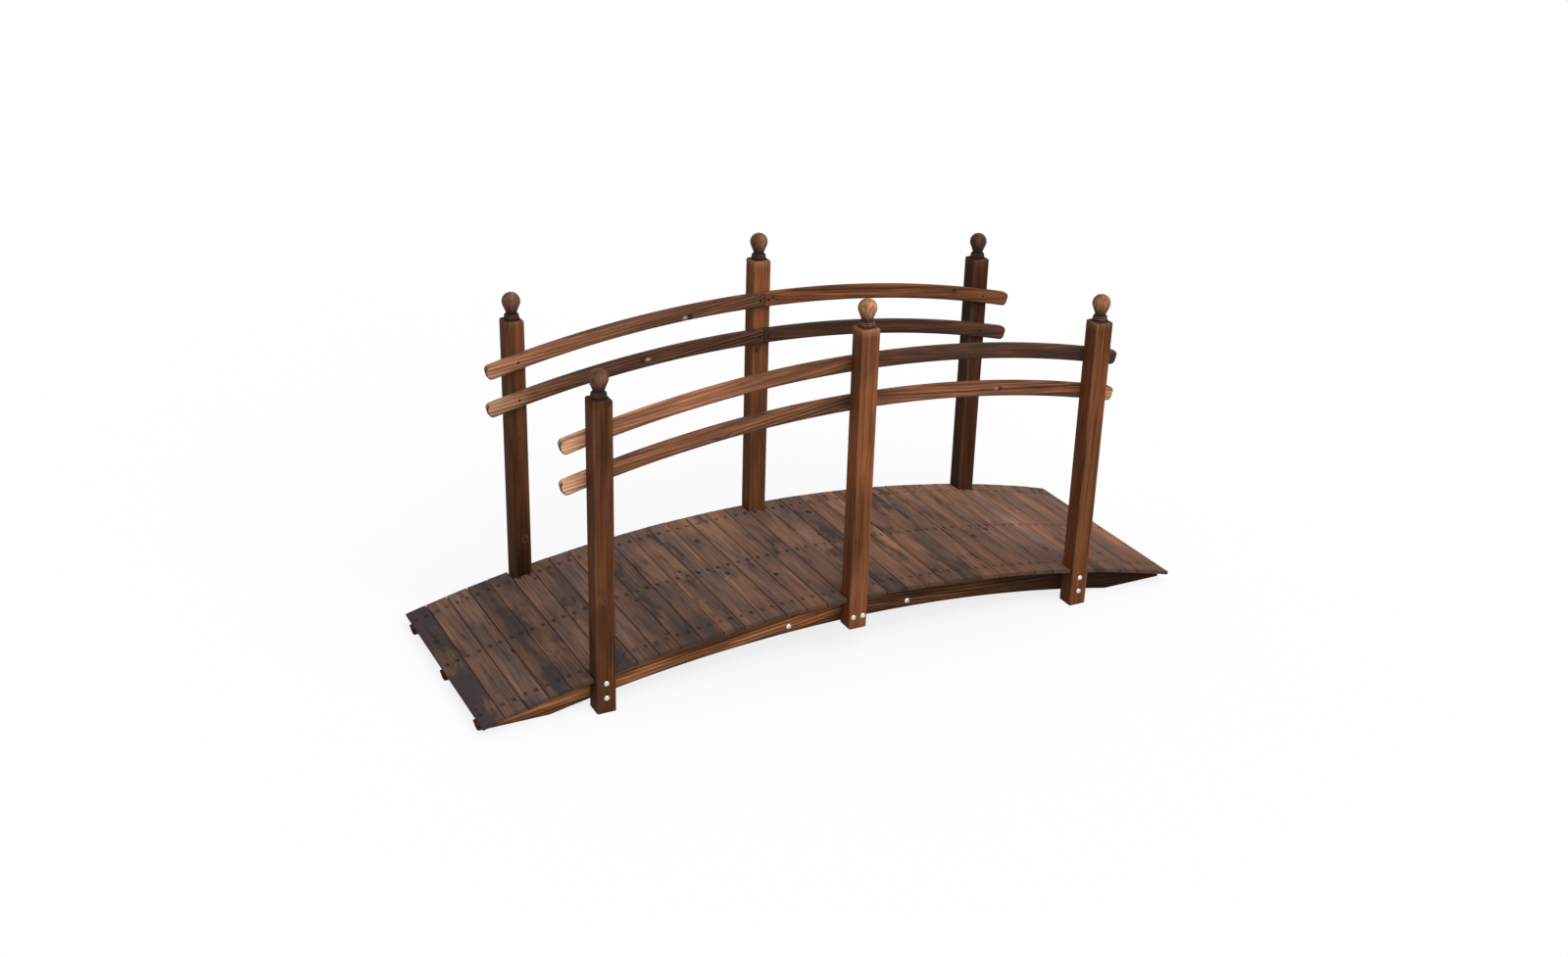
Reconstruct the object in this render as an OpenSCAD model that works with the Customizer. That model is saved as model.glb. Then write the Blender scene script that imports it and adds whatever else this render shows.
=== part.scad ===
// Arched wooden garden bridge: three sawn stringers in two halves, a planked deck,
// six bolted posts with turned finials, and two arched rails on each side.
// Millimetres. X runs along the bridge, Y across it, Z up from the ground.

/* [Bridge] */
// Length over the stringers' noses
bridge_l = 2267; // [2000:1:2500]
// Distance between the outer faces of the two outer stringers, which carry the posts
bridge_w = 606; // [500:2:760]
// Distance along the arch from a middle post to an end post, taken to the nearest plank
post_span = 780; // [600:5:900]

/* [Deck] */
// Width of a plank
plank_w = 63.5; // [56:0.5:90]
// Least gap between neighbouring planks, widened evenly to fill the deck
plank_gap_min = 1.2; // [0.8:0.1:4]
// Thickness of a plank
plank_t = 11; // [8:0.5:18]
// Distance of a plank's end inside the posts' outer faces
plank_inset = 7; // [0:0.5:20]
// Eased edge along the top of a plank
plank_ease = 1.2; // [0.5:0.1:2]

/* [Stringers] */
// Thickness of a stringer
stringer_t = 22; // [18:1:32]
// Depth of a stringer at mid-span
stringer_depth = 81; // [70:1:95]
// Radius of the stringers' top edge
arch_r = 4318; // [4000:1:4800]
// Radius of the stringers' underside
under_r = 4500; // [4200:1:5000]
// Height of a stringer's nose at its end
nose_h = 25; // [15:1:40]
// Length of the nose that shows past the last plank
nose_overhang = 7; // [3:1:20]
// Gap where two half stringers, or two half rails, meet at mid-span
half_gap = 1; // [0.5:0.1:2]

/* [Splice plates] */
// Length of the plate that joins two half stringers
splice_l = 450; // [400:5:520]
// Depth of a splice plate
splice_depth = 58; // [50:1:66]
// Thickness of a splice plate
splice_t = 22; // [15:1:30]
// Height of a splice plate's lower edge above the stringer's underside, at mid-span
splice_lift = 8; // [3:1:12]

/* [Posts] */
// Side of the square post
post_size = 56; // [45:1:70]
// Height of a post above the upper rail beside it
post_above_rail = 94; // [60:1:140]
// Length of a middle post below the stringer's underside
post_drop = 6; // [2:1:20]
// Eased edge of a post
post_ease = 2.5; // [1:0.5:5]
// Chamfer round the top of a post
post_top_chamfer = 4; // [2:0.5:8]
// Clearance between a post and the planks cut short or notched for it
post_clear = 1.5; // [1:0.5:4]

/* [Rails] */
// Height of the upper rail's top above the deck at mid-span
rail_height = 720; // [600:5:900]
// Drop from the upper rail to the lower one
rail_drop = 115; // [80:1:160]
// Depth of a rail
rail_h = 43; // [34:1:55]
// Thickness of a rail
rail_t = 20; // [15:1:30]
// Radius of a rail's top edge
rail_r = 3540; // [3000:10:4500]
// Length of a rail past the outer side of an end post
rail_overhang = 64; // [30:1:100]
// Radius of the two rounded corners at a rail's end
rail_end_r = 14; // [6:0.5:16]
// Eased edge along a rail
rail_ease = 2; // [1:0.5:5]

/* [Finials] */
// Diameter of the ball
ball_d = 53; // [44:0.5:60]
// Height of the ball's centre above the post
ball_z = 53; // [48:0.5:62]
// Angle of the ball's tapered underside
pear_angle = 22; // [18:1:32]
// Diameter of the neck
neck_d = 32; // [26:0.5:38]
// Diameter of the foot that seats on the post
foot_d = 46; // [40:0.5:50]
// Thickness of the foot
foot_t = 4; // [3:0.5:6]
// Radius of the round bead above the foot
lower_bead_r = 3.2; // [2.5:0.1:4]
// Radius of the upper bead
upper_bead_r = 2.6; // [2:0.1:3.5]
// Step in from the foot to the lower bead, and from bead to bead
bead_step = 0.9; // [0.5:0.1:2]
// Radius of the hollow between the beads and the neck
cove_r = 13; // [9:0.5:18]

/* [Hidden] */

// Facets of the long arcs, and of the small turned parts
arc_fn = 1440;
turn_fn = 96;
// Reach of a cutting shape past the solid that it cuts
reach = 40;

deck_colour = [0.30, 0.21, 0.17];
beam_colour = [0.42, 0.25, 0.15];
post_colour = [0.36, 0.21, 0.13];
rail_colour = [0.40, 0.23, 0.14];
finial_colour = [0.38, 0.23, 0.15];

// The arch: the angle of its end, its crown above the ground and the centre of its top edge
nose_angle = asin(bridge_l / 2 / arch_r);
crown_z = nose_h + arch_r * (1 - cos(nose_angle));
arch_cz = crown_z - arch_r;
under_z = crown_z - stringer_depth;
under_cz = under_z - under_r;

// Planks are numbered from 0 at mid-span, negative to the left, and spread evenly to the noses.
half_deck = arch_r * nose_angle * PI / 180 - nose_overhang - plank_w / 2;
last_plank = floor(half_deck / (plank_w + plank_gap_min));
plank_pitch = half_deck / last_plank;
plank_step = plank_pitch / arch_r * 180 / PI;

// Faces across the bridge: the outer stringers' outer faces carry the posts.
seat_y = bridge_w / 2;
stringer_ys = [-seat_y + stringer_t / 2, 0, seat_y - stringer_t / 2];
plank_l = bridge_w + 2 * (post_size - plank_inset);

// Post centres along the bridge, in line with the planks that are cut short for them
post_plank = round(post_span / plank_pitch);
post_x = arch_r * sin(post_plank * plank_step);

// Rail heights, and the angles of a half rail's two ends
deck_top_z = crown_z + plank_t;
upper_rail_z = deck_top_z + rail_height;
lower_rail_z = upper_rail_z - rail_drop;
rail_end_x = post_x + post_size / 2 + rail_overhang;
rail_end_angle = asin(rail_end_x / (rail_r - rail_h / 2));
rail_gap_angle = asin(half_gap / 2 / rail_r);

// Rail top above a point x along the bridge, for a rail whose crown is at z
function rail_top_at(x, z) = z - rail_r + sqrt(rail_r * rail_r - x * x);
function post_top_at(x) = rail_top_at(x, upper_rail_z) + post_above_rail;

// An outline in the X-Z plane, extruded by t along Y about the plane y
module upright(y, t) {
    translate([0, y, 0]) rotate([90, 0, 0]) linear_extrude(height = t, center = true) children();
}

// The part of the arch to the right of mid-span and above the ground, cut square at the nose
module right_half() {
    far_r = arch_r + reach;
    polygon([
        [half_gap / 2, 0], [-arch_cz * tan(nose_angle), 0],
        [far_r * sin(nose_angle), arch_cz + far_r * cos(nose_angle)], [half_gap / 2, arch_cz + far_r]
    ]);
}

// Half a stringer: a curved top, a curved underside and a flat foot on the ground
module half_stringer(y, end) {
    color(beam_colour) upright(y, stringer_t) mirror([end < 0 ? 1 : 0, 0]) difference() {
        intersection() {
            translate([0, arch_cz]) circle(r = arch_r, $fn = arc_fn);
            right_half();
        }
        translate([0, under_cz]) circle(r = under_r, $fn = arc_fn);
    }
}

// Curved plate on the face of a stringer, over the joint of its two halves
module splice_plate(y) {
    low_r = arch_r - stringer_depth + splice_lift;
    color(beam_colour) upright(y, splice_t) translate([0, arch_cz]) intersection() {
        difference() {
            circle(r = low_r + splice_depth, $fn = arc_fn);
            circle(r = low_r, $fn = arc_fn);
        }
        translate([-splice_l / 2, 0]) square([splice_l, arch_r]);
    }
}

// One flat board, laid on the arch at plank number i
module plank(i, length) {
    w = plank_w / 2;
    color(deck_colour)
    translate([0, 0, arch_cz]) rotate([0, i * plank_step, 0]) translate([0, 0, arch_r])
    upright(0, length) polygon([
        [-w, 0], [w, 0], [w, plank_t - plank_ease], [w - plank_ease, plank_t],
        [plank_ease - w, plank_t], [-w, plank_t - plank_ease]
    ]);
}

// The room that the two posts at x need through the deck
module post_room(x) {
    room = post_size + 2 * post_clear;
    for (side = [-1, 1])
        translate([x - room / 2, side * (seat_y + post_size / 2) - room / 2, 0])
            cube([room, room, deck_top_z + reach]);
}

function post_at(i) = [for (p = [-1, 0, 1]) if (abs(i - p * post_plank) == 1) p * post_x];

// A run of full planks; those beside a post are notched where the post reaches them
module plank_run(first, last) {
    for (i = [first : last]) {
        beside = post_at(i);
        if (len(beside) > 0)
            difference() {
                plank(i, plank_l);
                post_room(beside[0]);
            }
        else
            plank(i, plank_l);
    }
}

// The plank in line with a pair of posts, cut short to fit between them
module post_plank_board(p) {
    plank(p * post_plank, bridge_w - 2 * post_clear);
}

// Outline of a square post with eased edges
module post_section() {
    s = post_size / 2;
    e = post_ease;
    polygon([
        [-s, e - s], [e - s, -s], [s - e, -s], [s, e - s],
        [s, s - e], [s - e, s], [e - s, s], [-s, s - e]
    ]);
}

// Side view of a post's chamfered top, from its foot at z0 to z1
module post_outline(z0, z1) {
    s = post_size / 2;
    c = post_top_chamfer;
    polygon([[-s, z0], [s, z0], [s, z1 - c], [s - c, z1], [c - s, z1], [-s, z1 - c]]);
}

// A post on the outer face of a stringer: p is -1, 0 or 1 along the bridge, side -1 or 1 across it
module post(p, side) {
    z0 = p == 0 ? under_z - post_drop : 0;
    z1 = post_top_at(p * post_x);
    color(post_colour) translate([p * post_x, side * (seat_y + post_size / 2), 0]) intersection() {
        translate([0, 0, z0]) linear_extrude(height = z1 - z0) post_section();
        upright(0, post_size) post_outline(z0, z1);
        rotate([0, 0, 90]) upright(0, post_size) post_outline(z0, z1);
    }
}

// Half section of a turned finial: foot, two beads, cove, neck and pear-shaped ball
module finial_section() {
    ball_r = ball_d / 2;
    neck_r = neck_d / 2;
    lower_x = foot_d / 2 - bead_step - lower_bead_r;
    lower_z = foot_t + lower_bead_r;
    upper_x = lower_x + lower_bead_r - bead_step - upper_bead_r;
    upper_z = lower_z + lower_bead_r + upper_bead_r;
    taper_r = ball_r * cos(pear_angle);
    taper_z = ball_z - ball_r * sin(pear_angle);
    neck_z = taper_z - (taper_r - neck_r) / tan(pear_angle);
    intersection() {
        square([foot_d, ball_z + ball_d]);
        union() {
            square([foot_d / 2, foot_t]);
            square([lower_x, upper_z + upper_bead_r]);
            translate([lower_x, lower_z]) circle(r = lower_bead_r, $fn = turn_fn);
            translate([upper_x, upper_z]) circle(r = upper_bead_r, $fn = turn_fn);
            difference() {
                square([upper_x + upper_bead_r, neck_z]);
                translate([neck_r + cove_r, neck_z]) circle(r = cove_r, $fn = turn_fn);
                translate([upper_x, 0]) square([foot_d, upper_z]);
            }
            polygon([[0, foot_t], [neck_r, neck_z], [taper_r, taper_z], [0, ball_z]]);
            translate([0, ball_z]) circle(r = ball_r, $fn = turn_fn);
        }
    }
}

// A finial on top of the post at p and side
module finial(p, side) {
    color(finial_colour)
    translate([p * post_x, side * (seat_y + post_size / 2), post_top_at(p * post_x)])
        rotate_extrude($fn = turn_fn) finial_section();
}

// The corner that is taken off a rail's end to round it, above (up = 1) or below (up = -1)
module rail_corner(up) {
    rotate(-rail_end_angle) translate([0, rail_r - rail_h / 2]) mirror([0, up < 0 ? 1 : 0])
    difference() {
        translate([-rail_end_r, rail_h / 2 - rail_end_r]) square(rail_end_r + rail_h);
        translate([-rail_end_r, rail_h / 2 - rail_end_r]) circle(r = rail_end_r, $fn = turn_fn);
    }
}

// Section of a rail with eased edges, at its radius from the rail's centre
module rail_section() {
    t = rail_t / 2;
    e = rail_ease;
    low = rail_r - rail_h;
    polygon([
        [low, e - t], [low + e, -t], [rail_r - e, -t], [rail_r, e - t],
        [rail_r, t - e], [rail_r - e, t], [low + e, t], [low, t - e]
    ]);
}

// Half a rail on the inner face of the posts, bent along its arc, with its crown at z
module half_rail(end, side, z) {
    color(rail_colour) translate([0, side * (seat_y - rail_t / 2), z - rail_r])
    mirror([end < 0 ? 1 : 0, 0, 0]) difference() {
        rotate([90, 0, 0]) rotate([0, 0, 90 - rail_end_angle])
            rotate_extrude(angle = rail_end_angle - rail_gap_angle, $fn = arc_fn) rail_section();
        upright(0, rail_t + reach) {
            rail_corner(1);
            rail_corner(-1);
        }
    }
}

half_stringer(stringer_ys[0], -1);  // front_left_stringer
half_stringer(stringer_ys[0], 1);  // front_right_stringer
half_stringer(stringer_ys[1], -1);  // middle_left_stringer
half_stringer(stringer_ys[1], 1);  // middle_right_stringer
half_stringer(stringer_ys[2], -1);  // back_left_stringer
half_stringer(stringer_ys[2], 1);  // back_right_stringer

splice_plate(stringer_ys[0] + (stringer_t + splice_t) / 2);  // front_splice_plate
splice_plate(stringer_ys[1] + (stringer_t + splice_t) / 2);  // middle_splice_plate
splice_plate(stringer_ys[2] - (stringer_t + splice_t) / 2);  // back_splice_plate

plank_run(-last_plank, -post_plank - 1);  // left_ramp_planks
post_plank_board(-1);  // left_post_plank
plank_run(1 - post_plank, -1);  // left_bay_planks
post_plank_board(0);  // middle_post_plank
plank_run(1, post_plank - 1);  // right_bay_planks
post_plank_board(1);  // right_post_plank
plank_run(post_plank + 1, last_plank);  // right_ramp_planks

post(-1, -1);  // front_left_post
post(0, -1);  // front_middle_post
post(1, -1);  // front_right_post
post(-1, 1);  // back_left_post
post(0, 1);  // back_middle_post
post(1, 1);  // back_right_post

finial(-1, -1);  // front_left_finial
finial(0, -1);  // front_middle_finial
finial(1, -1);  // front_right_finial
finial(-1, 1);  // back_left_finial
finial(0, 1);  // back_middle_finial
finial(1, 1);  // back_right_finial

half_rail(-1, -1, upper_rail_z);  // front_left_upper_rail
half_rail(-1, -1, lower_rail_z);  // front_left_lower_rail
half_rail(1, -1, upper_rail_z);  // front_right_upper_rail
half_rail(1, -1, lower_rail_z);  // front_right_lower_rail
half_rail(-1, 1, upper_rail_z);  // back_left_upper_rail
half_rail(-1, 1, lower_rail_z);  // back_left_lower_rail
half_rail(1, 1, upper_rail_z);  // back_right_upper_rail
half_rail(1, 1, lower_rail_z);  // back_right_lower_rail
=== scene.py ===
import bmesh
import bpy
import random
from math import asin, atan2, copysign, cos, pi, radians, sin, sqrt, tan
from mathutils import Matrix, Vector, noise


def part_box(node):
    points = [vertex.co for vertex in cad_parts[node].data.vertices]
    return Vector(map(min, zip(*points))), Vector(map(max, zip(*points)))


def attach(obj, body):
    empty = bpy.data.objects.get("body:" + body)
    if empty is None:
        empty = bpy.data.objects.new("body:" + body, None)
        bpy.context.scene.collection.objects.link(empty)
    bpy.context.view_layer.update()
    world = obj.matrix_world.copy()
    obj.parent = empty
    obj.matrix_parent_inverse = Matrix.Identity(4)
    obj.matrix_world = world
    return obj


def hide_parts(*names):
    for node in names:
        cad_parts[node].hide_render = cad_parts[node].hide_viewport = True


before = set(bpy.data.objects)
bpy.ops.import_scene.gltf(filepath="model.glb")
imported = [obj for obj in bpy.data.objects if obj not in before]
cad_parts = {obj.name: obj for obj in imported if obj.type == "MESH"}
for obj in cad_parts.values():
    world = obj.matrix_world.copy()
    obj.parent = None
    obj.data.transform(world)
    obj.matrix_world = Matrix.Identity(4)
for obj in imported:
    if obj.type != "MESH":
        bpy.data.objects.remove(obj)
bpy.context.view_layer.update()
scene = bpy.context.scene
scene.view_settings.view_transform = "Standard"
print("frame loaded:", len(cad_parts), "nodes")

sides = {"front": -1, "back": 1}
seedSpan = 9        # each board's seed lies between 0 and this
plainCrease = 32    # edges that turn by more degrees stay sharp


def lerp(a, b, t):
    return a + (b - a) * t


# Even steps from just after low up to high
def stepsTo(low, high, count):
    return [lerp(low, high, k / count) for k in range(1, count + 1)]


def shareOf(value, low, high):
    return min(1, max(0, (value - low) / (high - low)))


def polar(radius, angle, centreZ):
    return Vector((radius * sin(angle), 0, centreZ + radius * cos(angle)))


def endOf(half):
    return -1 if "left" in half else 1


def camelName(node):
    first, *rest = node.split("_")
    return first + "".join(word.capitalize() for word in rest)


# Camera at the photo's angle; the turns are in degrees
cameraLook = dict(
    place=(-2.4097, -4.4819, 2.6686),
    turn=-27.606, tip=66.112, roll=1.645, lens=42.985, sensor=36, clipEnd=200,
)


def makeCamera(look):
    data = bpy.data.cameras.new("viewCamera")
    data.lens = look["lens"]
    data.sensor_width = look["sensor"]
    data.sensor_fit = "HORIZONTAL"
    data.clip_end = look["clipEnd"]
    camera = bpy.data.objects.new("viewCamera", data)
    turn = Matrix.Rotation(radians(look["turn"]), 4, "Z")
    tip = Matrix.Rotation(radians(look["tip"]), 4, "X")
    roll = Matrix.Rotation(radians(look["roll"]), 4, "Z")
    camera.matrix_world = Matrix.Translation(look["place"]) @ turn @ tip @ roll
    scene.collection.objects.link(camera)
    scene.camera = camera


makeCamera(cameraLook)
print("camera placed")


# A node with its inputs, given in order or by name: numbers, tuples or other nodes' wires
def addNode(tree, kind, inputs=(), output=0, **settings):
    node = tree.nodes.new("ShaderNode" + kind)
    for key, value in settings.items():
        setattr(node, key, value)
    for key, value in inputs.items() if isinstance(inputs, dict) else enumerate(inputs):
        if isinstance(value, Wire):
            tree.links.new(value.socket, node.inputs[key])
        else:
            node.inputs[key].default_value = value
    return Wire(tree, node.outputs[output]) if node.outputs else None


# What comes out of a node, to reckon with as with a number or a vector
class Wire:
    def __init__(self, tree, socket):
        self.tree = tree
        self.socket = socket

    def calc(self, operation, *others):
        kind = "Math" if self.socket.type == "VALUE" else "VectorMath"
        output = "Value" if operation == "LENGTH" else 0
        return addNode(self.tree, kind, (self, *others), output, operation=operation)

    def __add__(self, other):
        return self.calc("ADD", other)

    def __sub__(self, other):
        return self.calc("SUBTRACT", other)

    def __mul__(self, other):
        return self.calc("MULTIPLY", other)

    def __truediv__(self, other):
        return self.calc("DIVIDE", other)

    def __abs__(self):
        return self.calc("ABSOLUTE")

    # another output of the same node
    def other(self, output):
        return Wire(self.tree, self.socket.node.outputs[output])

    def split(self):
        x = addNode(self.tree, "SeparateXYZ", (self,))
        return x, x.other(1), x.other(2)

    def join(self, y, z):
        return addNode(self.tree, "CombineXYZ", (self, y, z))

    def spread(self, low, high, toLow=0.0, toHigh=1.0):
        inputs = (self, low, high, toLow, toHigh)
        return addNode(self.tree, "MapRange", inputs, interpolation_type="SMOOTHSTEP")

    # the first colour where this is 0, the second where it is 1; a mix node's colours are inputs 6 and 7
    def mix(self, first, second):
        first, second = [c if isinstance(c, Wire) else (*c, 1) for c in (first, second)]
        return addNode(self.tree, "Mix", {0: self, 6: first, 7: second}, 2, data_type="RGBA")

    def noise(self, stretch, detail=2.0, rough=0.5, shift=(0, 0, 0), output="Fac"):
        inputs = {"Vector": (self + shift) * stretch, "Scale": 1, "Detail": detail, "Roughness": rough}
        return addNode(self.tree, "TexNoise", inputs, output)

    # noise that swings about 0 in three directions
    def swing(self, *pattern):
        return self.noise(*pattern, output="Color") - (0.5, 0.5, 0.5)


def meshValues(tree, name):
    return addNode(tree, "Attribute", (), "Vector", attribute_name=name)


# A spot that fades from low to high sizes off its centre; a stretch under 1 draws it out along the board
def spotAt(along, across, size, stretch, low, high, depth):
    gap = (along * stretch).join(across, 0.0).calc("LENGTH")
    return gap.spread(size * low, size * high, depth, 0)


def startFinish(name):
    material = bpy.data.materials.new(name)
    material.use_nodes = True
    material.node_tree.nodes.clear()
    return material, material.node_tree


def endFinish(tree, colour, roughness, height, look):
    bump = {"Strength": look["bump"], "Distance": look["bumpDepth"], "Height": height}
    normal = addNode(tree, "Bump", bump, "Normal")
    shader = {"Base Color": colour, "Roughness": roughness, "Normal": normal,
              "Metallic": look.get("metal", 0), "Specular IOR Level": look["gloss"]}
    addNode(tree, "OutputMaterial", {"Surface": addNode(tree, "BsdfPrincipled", shader)})


# Tone and char also carry painted shade and painted highlights on the stringers, the rails and the finials.
# Stained fir. Each mesh carries grain (metres along, across and through the board),
# board (seed, tone, warmth) and wear (char, pale, soot) for every point.
# A noise is its stretch, detail, roughness and shift, without the stretch where each wood has its own.
# A range is where a pattern starts and stops, then what it goes from and to, if not from 0 to 1.
firLook = dict(
    seedShift=(17.3, 5.1, 9.7),     # sets each board elsewhere in the noise
    knotJitter=0.55,                # keeps knots off the edges of their cells
    knotStretch=0.62, knotSizes=(0.55, 1.3), knotDepth=0.85,
    knotRanges=((0.35, 1, 1, 0), (0.6, 3.2, 1, 0), (1, 1.7, 1, 0)),     # core, swirl, halo
    rimNoise=((45, 90, 90), 2, 0.5, (19, 3, 0)), rimRange=(0.44, 0.6, 0.1, 0.7),
    raggedNoise=((60, 110, 110), 2, 0.6), raggedReach=(0.009, 0.009, 0),
    wanderNoise=((1.3, 8, 8), 2, 0.5), ringBend=1.2,
    ringRise=(0.3, 0.72), ringFall=(0.9, 1, 1, 0),  # late wood, as shares of a ring
    bandRings=3.1, bandSeed=3, bandRange=(0.3, 0.7), bandFaint=0.45,
    fibreNoise=(3, 0.62), fibreRange=(0.25, 0.75), poreNoise=((30, 1100, 1100), 2, 0.6),
    threadNoise=(2, 0.55, (2, 8, 3)), threadRange=(0.52, 0.66), threadLine=0.6,
    cloudNoise=(3, 0.55, (3.1, 0, 0)), cloudRange=(0.25, 0.75, 1.25, 0.75), greyRange=(0.38, 0.66),
    flushNoise=(2, 0.5, (7.7, 1.3, 0)), flushRange=(0.42, 0.68),
    bareRange=(0.3, 0.7, 1, 0.6), bareLines=0.9,    # rings and threads show through bare wood
    sootNoise=(4, 0.62, (31, 2, 0)), sootSwing=0.22, sootRough=0.08,
    smudgeRange=(0.35, 0.6), smudgeFaint=0.3,
    tickNoise=((70, 24, 24), 2, 0.5, (11, 5, 0)), tickSoft=0.05,
    crackNoise=((1.2, 46, 46), 1, 0.4, (53, 0, 0)), crackRange=(0.004, 0.03, 1, 0),
    crackRun=((3.5, 12, 12), 2, 0.5, (71, 9, 0)), crackSoft=0.12, charRange=(0.3, 0.62),
    markSpot=(0.6, 0.5, 1.2, 0.85),     # stretch, fade and depth
    chipSpot=(0.65, 0.1, 0.95, 0.75),
    nailSpot=(0.6, 1, 3, 1), nailSize=0.003, nailRange=(0.3, 0.6, 0.3, 0.75),
    poreRise=0.35, fibreRise=0.8, lateRise=-0.35, crackRise=-1.6, knotRise=0.5,
)


# Knots near the centres of some cells: core, swirl and halo, and the noise that frays them
def knotFigure(place, look):
    cell = look["knotCell"]
    cellPlace = place * [1 / size if size else 0 for size in cell]
    inputs = {"Vector": cellPlace, "Scale": 1, "Randomness": look["knotJitter"]}
    cells = addNode(place.tree, "TexVoronoi", inputs, "Position")
    away = (cellPlace - cells) * (cell[0] * look["knotStretch"], *cell[1:])
    ragged = place.swing(*look["raggedNoise"])
    away = away + ragged * look["raggedReach"]
    pick, room, _ = cells.other("Color").split()
    reach = away.calc("LENGTH") / (room.spread(0, 1, *look["knotSizes"]) * look["knotSize"])
    kept = pick.calc("LESS_THAN", look["knotShare"])
    core, swirl, halo = [reach.spread(*fade) * kept for fade in look["knotRanges"]]
    return core, swirl, halo - core, ragged


# Growth rings about a pith that lies off the board: the late wood, and how far it shows
def ringFigure(grain, place, seed, swirl, look):
    bent = grain + place.swing(*look["wanderNoise"]) * (0, look["sway"], look["sway"])
    dice = addNode(grain.tree, "TexWhiteNoise", {"W": seed}, "Color", noise_dimensions="1D")
    pith = (dice - (0.5, 0.5, 0.5)) * (0, *look["pithSpread"]) + (0, *look["pithPlace"])
    toPith = ((bent - pith) * (0, 1, 1)).calc("LENGTH")
    along = grain.split()[0]
    ringPlace = along * look["taper"] + toPith + swirl * (look["knotSize"] * look["ringBend"])
    ring = (ringPlace / look["ringGap"]).calc("FRACT")
    late = ring.spread(*look["ringRise"]) * ring.spread(*look["ringFall"])
    bandStretch = (1 / (look["ringGap"] * look["bandRings"]), 1, look["bandSeed"])
    band = ringPlace.join(0.0, seed).noise(bandStretch, 1)
    faint = look["ringDepth"] * look["bandFaint"]
    return late, late * band.spread(*look["bandRange"], faint, look["ringDepth"])


def sootFigure(place, sootier, look):
    patch = place.noise(look["sootPatch"], *look["sootNoise"])
    edge = sootier * -look["sootSwing"] + look["sootFrom"]
    return patch.spread(edge, edge + look["sootSoft"])


# Drying checks: thin lines along the board that run for a while and stop
def crackFigure(place, look):
    line = abs(place.noise(*look["crackNoise"]) - 0.5).spread(*look["crackRange"])
    run = place.noise(*look["crackRun"]).spread(look["crackFrom"], look["crackFrom"] + look["crackSoft"])
    return line * run * look["cracks"]


# A placed knot with a chip of bare wood beside it
def layMark(colour, ragged, look):
    alongGap, acrossGap, chipSide = meshValues(colour.tree, "mark").split()
    ragAlong, ragAcross, _ = ragged.split()
    alongGap = ragAlong * look["markRag"] + alongGap
    acrossGap = ragAcross * look["markRag"] + acrossGap
    chipGap = chipSide * -look["chipStep"] + alongGap
    core = spotAt(alongGap, acrossGap, look["markSize"], *look["markSpot"])
    chip = spotAt(chipGap, acrossGap, look["markSize"], *look["chipSpot"]) * abs(chipSide)
    return chip.mix(core.mix(colour, look["knot"]), look["chip"])


# Dark marks about the deck nails, partly iron stain and partly painted shade of their sunk holes; the nails
# stand in pairs in three rows
def layNailStainAndShade(colour, grain, cloud, look):
    along, across, _ = grain.split()
    rowGap = abs(abs(along) - look["nailRow"]).calc("MINIMUM", abs(along))
    stainAndShade = spotAt(rowGap, abs(across) - look["nailPair"], look["nailSize"], *look["nailSpot"])
    return (stainAndShade * cloud.spread(*look["nailRange"])).mix(colour, look["char"])


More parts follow.
